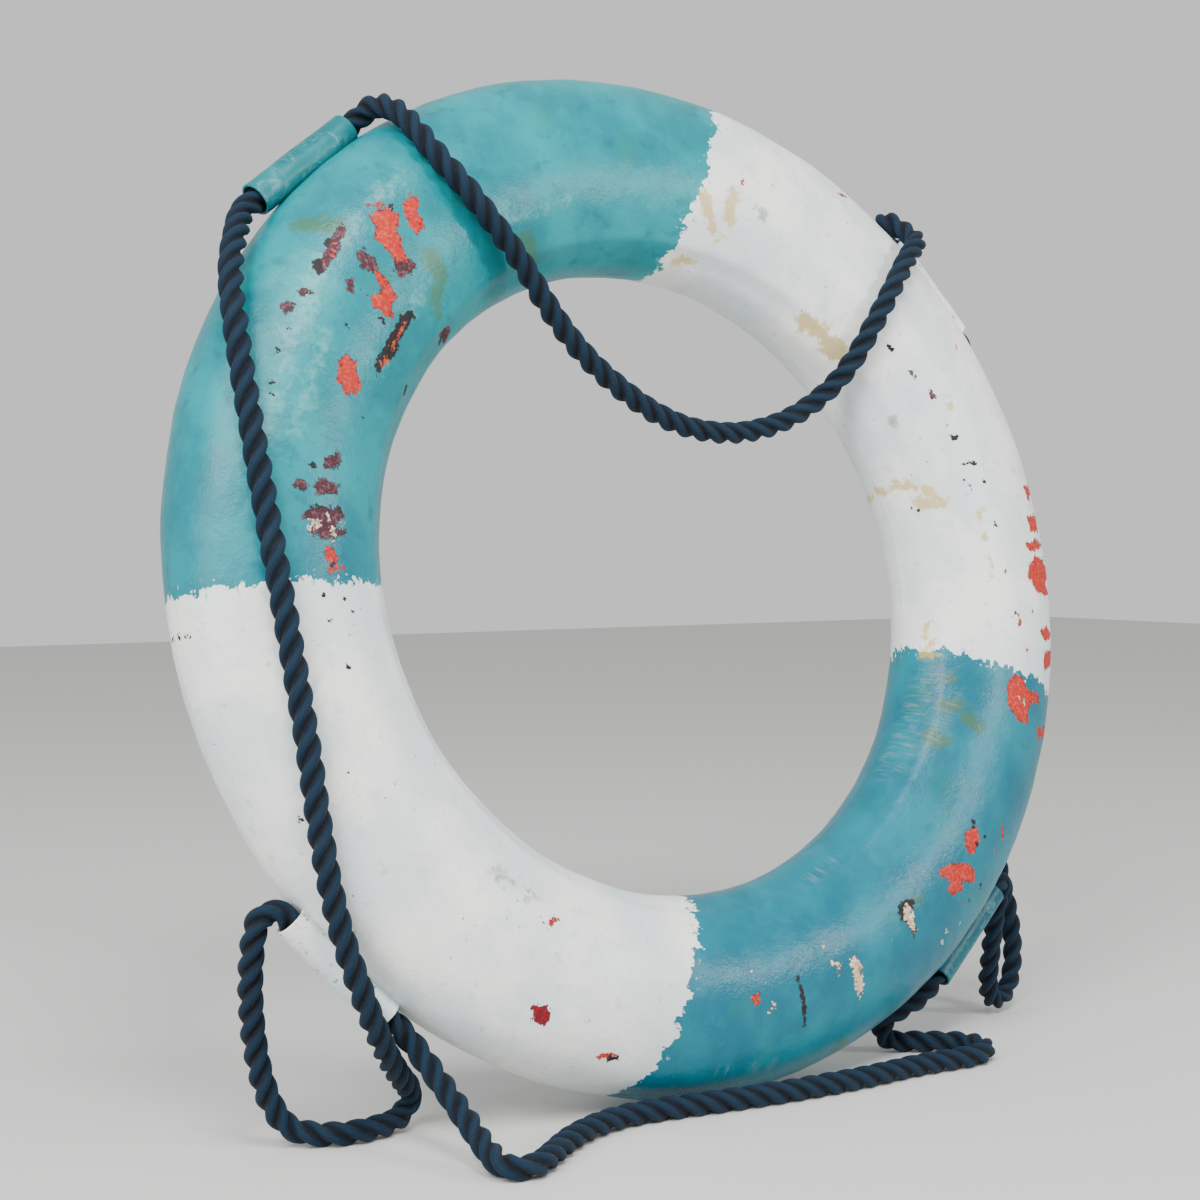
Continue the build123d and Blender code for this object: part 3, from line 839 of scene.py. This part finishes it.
def stained_and_highlighted(tree, noises, colour, streak):
    """Ochre and green stains, a pale painted highlight, grey streaks and dark specks."""
    rough, mottle = noises["rough"], noises["mottle"]
    stains_and_highlights = node(tree, "ShaderNodeAttribute", attribute_name="stains_and_highlights")
    split = node(tree, "ShaderNodeSeparateColor", {"Color": stains_and_highlights.outputs["Color"]})
    ochre, green, pale = (split.outputs[k] for k in ("Red", "Green", "Blue"))
    haze = stains_and_highlights.outputs["Alpha"]
    soft = math_node(tree, "ADD", centred(tree, rough, 18.0), centred(tree, mottle, 22.0))
    ochre = math_node(tree, "ADD", ochre, scaled(tree, soft, 0.8))
    colour = mix_colour(tree, ramp(tree, ochre, -2.0, 1.8, 0.0, 0.70), colour, (0.540, 0.360, 0.030))
    green = math_node(tree, "ADD", green, soft)
    colour = mix_colour(tree, ramp(tree, green, -4.5, 3.0, 0.0, 0.60), colour, (0.060, 0.110, 0.008))
    # Painted highlight: the pale strokes lighten the paint toward pale teal, broken up by noise
    highlight_breakup = math_node(tree, "ADD", centred(tree, rough, 30.0), centred(tree, mottle, 26.0))
    painted_highlight = ramp(tree, math_node(tree, "ADD", pale, highlight_breakup), -3.0, 10.0, 0.0, 0.28)
    colour = mix_colour(tree, painted_highlight, colour, (0.26, 0.56, 0.53))
    smear = math_node(tree, "MULTIPLY", ramp(tree, haze, -6.0, 8.0), ramp(tree, streak, 0.45, 0.68))
    colour = mix_colour(tree, scaled(tree, smear, 0.45), colour, (0.20, 0.24, 0.25))
    specks = node(tree, "ShaderNodeTexVoronoi",
                  {"Vector": noises["place"], "Scale": 95.0, "Randomness": 1.0})
    dot = ramp(tree, specks.outputs["Distance"], 0.055, 0.085, 1.0, 0.0)
    speckled = ramp(tree, noise_of(tree, noises["place"], 24, 2, 0.5), 0.50, 0.55)
    dot = math_node(tree, "MULTIPLY", dot, speckled)
    return mix_colour(tree, scaled(tree, dot, 0.75), colour, (0.07, 0.09, 0.10))


def chipped(tree, noises, colour):
    """Chips down to older coats, each with a dark rim, and where the top coat is gone."""
    rough, fine = noises["rough"], noises["fine"]
    chips = node(tree, "ShaderNodeAttribute", attribute_name="chips")
    chip = node(tree, "ShaderNodeSeparateColor", {"Color": chips.outputs["Color"]})
    scars = node(tree, "ShaderNodeAttribute", attribute_name="scars")
    scar = node(tree, "ShaderNodeSeparateColor", {"Color": scars.outputs["Color"]})
    # Maroon, red, black, cream, ember and crimson: each one's field, darker and lighter colour
    coats = (
        (chip.outputs["Green"], (0.045, 0.007, 0.014), (0.140, 0.055, 0.068)),
        (chip.outputs["Red"], (0.400, 0.012, 0.006), (0.540, 0.060, 0.032)),
        (chip.outputs["Blue"], (0.004, 0.004, 0.006), (0.016, 0.011, 0.013)),
        (chips.outputs["Alpha"], (0.440, 0.320, 0.200), (0.680, 0.620, 0.540)),
        (scar.outputs["Red"], (0.380, 0.035, 0.006), (0.520, 0.100, 0.020)),
        (scar.outputs["Green"], (0.150, 0.001, 0.008), (0.240, 0.004, 0.012)),
    )
    edge = math_node(tree, "ADD", centred(tree, rough, 11.0), centred(tree, fine, 5.0))
    flake = noise_of(tree, noises["place"], 420, 3, 0.6)
    bare = None
    for field, dark, light in coats:
        worn = math_node(tree, "ADD", field, edge)
        mask = ramp(tree, worn, -0.15, 0.15)
        inside = math_node(tree, "ADD", worn, centred(tree, flake, 6.0))
        rim = ramp(tree, inside, 0.1, 1.1, 0.8, 0.0)
        coat = mix_colour(tree, ramp(tree, flake, 0.45, 0.68), dark, light)
        coat = mix_colour(tree, rim, coat, (0.030, 0.010, 0.014))
        colour = mix_colour(tree, mask, colour, coat)
        bare = mask if bare is None else math_node(tree, "MAXIMUM", bare, mask)
    return colour, bare


def ring_paint():
    """The ring's brushed paint: two coats in bands, stained, with a painted highlight, and chipped down to
    older coats.
    """
    material, tree, shader, noises = paint_start("painted_ring")
    uv = node(tree, "ShaderNodeUVMap", uv_map="UVMap").outputs[0]
    round_ring = node(tree, "ShaderNodeMapping", {"Vector": uv, "Scale": (0.16, 1.0, 1.0)}).outputs[0]
    across_ring = node(tree, "ShaderNodeMapping", {"Vector": uv, "Scale": (1.0, 0.12, 1.0)}).outputs[0]
    brush = noise_of(tree, round_ring, 420, 5, 0.65)
    streak = noise_of(tree, across_ring, 260, 4, 0.6)
    colour, band = banded(tree, noises, brush)
    colour = stained_and_highlighted(tree, noises, colour, streak)
    colour, bare = chipped(tree, noises, colour)
    gloss = ramp(tree, noises["cloud"], 0.3, 0.7, 0.26, 0.38)
    gloss = math_node(tree, "ADD", gloss, scaled(tree, bare, 0.25))
    # A chip is a step down, and the turquoise coat lies a little above the white
    coats = math_node(tree, "ADD", scaled(tree, bare, -6.0), scaled(tree, band, 1.2))
    normal = bump(tree, noises["height"], 0.55, 0.0011)
    normal = bump(tree, brush, 0.16, 0.0005, normal)
    finish(tree, shader, colour, gloss, bump(tree, coats, 0.7, 0.00008, normal))
    return material


ring_look = ring_paint()
for name, low, high in (("front", 0, 180), ("rear", 180, 360)):
    mesh = ring_half("ring_" + name, low, high)
    mesh.materials.append(ring_look)
    half = link(bpy.data.objects.new("ring_" + name, mesh))
    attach(half, "root")
    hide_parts(name + "_shell")


# ---------------------------------------------------------------- sleeves
def sleeve_mesh(name):
    """A tube with rounded lips, hand-laid and so a little uneven."""
    a, b = sleeve_end(name, -1), sleeve_end(name, 1)
    axis = (b - a) / SLEEVE_LENGTH
    half_wall = (SLEEVE_RADIUS - SLEEVE_BORE) / 2
    middle = SLEEVE_BORE + half_wall
    outer = [(s, SLEEVE_RADIUS) for s in np.linspace(half_wall, SLEEVE_LENGTH - half_wall, 60)]
    lip = [(math.sin(t), math.cos(t)) for t in np.linspace(0, math.pi, 9)[1:-1]]
    profile = outer + [(SLEEVE_LENGTH - half_wall + half_wall * c, middle + half_wall * d) for c, d in lip]
    profile += [(s, SLEEVE_BORE) for s in np.linspace(SLEEVE_LENGTH - half_wall, half_wall, 30)]
    profile += [(half_wall - half_wall * c, middle - half_wall * d) for c, d in lip]
    profile = np.array(profile + profile[:1])
    side = np.cross(axis, [0.2, 1.0, 0.1])
    side /= np.linalg.norm(side)
    other = np.cross(axis, side)
    turn = np.linspace(0, 2 * math.pi, 65)[:-1]
    round_it = np.cos(turn)[:, None] * side + np.sin(turn)[:, None] * other
    points = a + profile[:, 0, None, None] * axis + profile[:, 1, None, None] * round_it
    shape = points.shape
    flat = points.reshape(-1, 3)
    out = np.tile(round_it, (len(profile), 1))
    flat = flat + out * (0.00016 * lumps(flat, 0.020) + 0.00006 * lumps(flat, 0.007))[:, None]
    rings = flat.reshape(shape)
    rings[-1] = rings[0]
    return grid_mesh("sleeve_" + name, rings)


sleeve_looks = {
    "turquoise_sleeve": sleeve_paint("turquoise_sleeve_paint", turquoise_coat, (0.16, 0.46, 0.47)),
    "white_sleeve": sleeve_paint("white_sleeve_paint", white_coat, (0.62, 0.68, 0.68)),
}
for name in SLEEVES:
    slot = "turquoise_sleeve" if name in ("upper_left", "lower_right") else "white_sleeve"
    mesh = sleeve_mesh(name)
    mesh.materials.append(sleeve_looks[slot])
    piece = link(bpy.data.objects.new("visual_sleeve_" + name, mesh))
    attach(piece, "root")
    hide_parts("sleeve_" + name)


# ---------------------------------------------------------------- plugs and foam
def plug_mesh(name, turn):
    """A flush plug: a low domed head with a rounded edge and a shallow centre mark."""
    # Each point's distance from the plug's axis, and its height above the shell
    profile = [(0.0, 0.0002), (0.0016, 0.0002), (0.0024, 0.0009), (0.0060, 0.0010), (0.0110, 0.0007),
               (0.0124, 0.0003), (0.0129, -0.0005), (0.0130, -0.0020), (0.0090, -0.0021), (0.0090, -0.0065)]
    turns = np.linspace(0, 2 * math.pi, 65)[:-1]
    r, y, _, _ = section(270)
    c, s = math.cos(math.radians(turn)), math.sin(math.radians(turn))
    rings = []
    for radius, rise in profile:
        outward, sideways = r + radius * np.cos(turns), radius * np.sin(turns)
        x, z = outward * c - sideways * s, outward * s + sideways * c
        drop = FACE_RADIUS - np.sqrt(FACE_RADIUS**2 - (radius * np.cos(turns)) ** 2)
        rings.append(lean(np.stack([x, y + rise - drop, z], -1)))
    return grid_mesh(name, np.array(rings)[::-1], caps=True)


for name, turn in (("foam_fill_plug", 180.0), ("vent_plug", 0.0)):
    mesh = plug_mesh("visual_" + name, turn)
    mesh.materials.append(sleeve_looks["white_sleeve"])
    piece = link(bpy.data.objects.new("visual_" + name, mesh))
    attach(piece, "root")
    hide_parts(name)


material, tree, shader = new_material("foam")
place = node(tree, "ShaderNodeTexCoord").outputs["Object"]
cells = node(tree, "ShaderNodeTexVoronoi", {"Vector": place, "Scale": 400.0})
colour = mix_colour(tree, cells.outputs["Distance"], (0.55, 0.46, 0.26), (0.72, 0.62, 0.40))
tree.links.new(colour, shader.inputs["Base Color"])
tree.links.new(bump(tree, cells.outputs["Distance"], 0.6, 0.0008), shader.inputs["Normal"])
shader.inputs["Roughness"].default_value = 0.9
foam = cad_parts["foam_core"]
foam.data.materials.clear()
foam.data.materials.append(material)

# ---------------------------------------------------------------- stage
FLOOR_REACH = 6
floor_mesh = bpy.data.meshes.new("floor")
floor_corners = [(x * FLOOR_REACH, y * FLOOR_REACH, 0) for x, y in ((-1, -1), (1, -1), (1, 1), (-1, 1))]
floor_mesh.from_pydata(floor_corners, [], [(0, 1, 2, 3)])
floor = link(bpy.data.objects.new("floor", floor_mesh))
material, tree, shader = new_material("floor")
shader.inputs["Base Color"].default_value = (0.60, 0.60, 0.585, 1)
shader.inputs["Roughness"].default_value = 0.8
floor_mesh.materials.append(material)

world = bpy.data.worlds.new("studio")
bpy.context.scene.world = world
world.use_nodes = True
background = next(n for n in world.node_tree.nodes if n.type == "BACKGROUND")
background.inputs["Color"].default_value = (0.97, 0.985, 0.97, 1)
background.inputs["Strength"].default_value = 0.80


def area_light(name, place, target, size, power):
    """A square white light at a place, turned to a target; size in metres, power in watts."""
    data = bpy.data.lights.new(name, "AREA")
    data.shape, data.size, data.energy = "SQUARE", size, power
    light = link(bpy.data.objects.new(name, data))
    light.location = place
    light.rotation_euler = (Vector(target) - Vector(place)).to_track_quat("-Z", "Y").to_euler()


area_light("window", (-2.2, -1.6, 2.4), (0, 0, 0.35), 1.3, 98)
area_light("above", (-0.5, -1.4, 2.3), (-0.1, 0.05, 0.4), 0.7, 42)
area_light("side", (1.28, -1.88, 1.02), (0.2, 0, 0.25), 0.30, 24)
area_light("left", (-2.6, -0.7, 0.8), (-0.2, 0, 0.3), 0.9, 22)
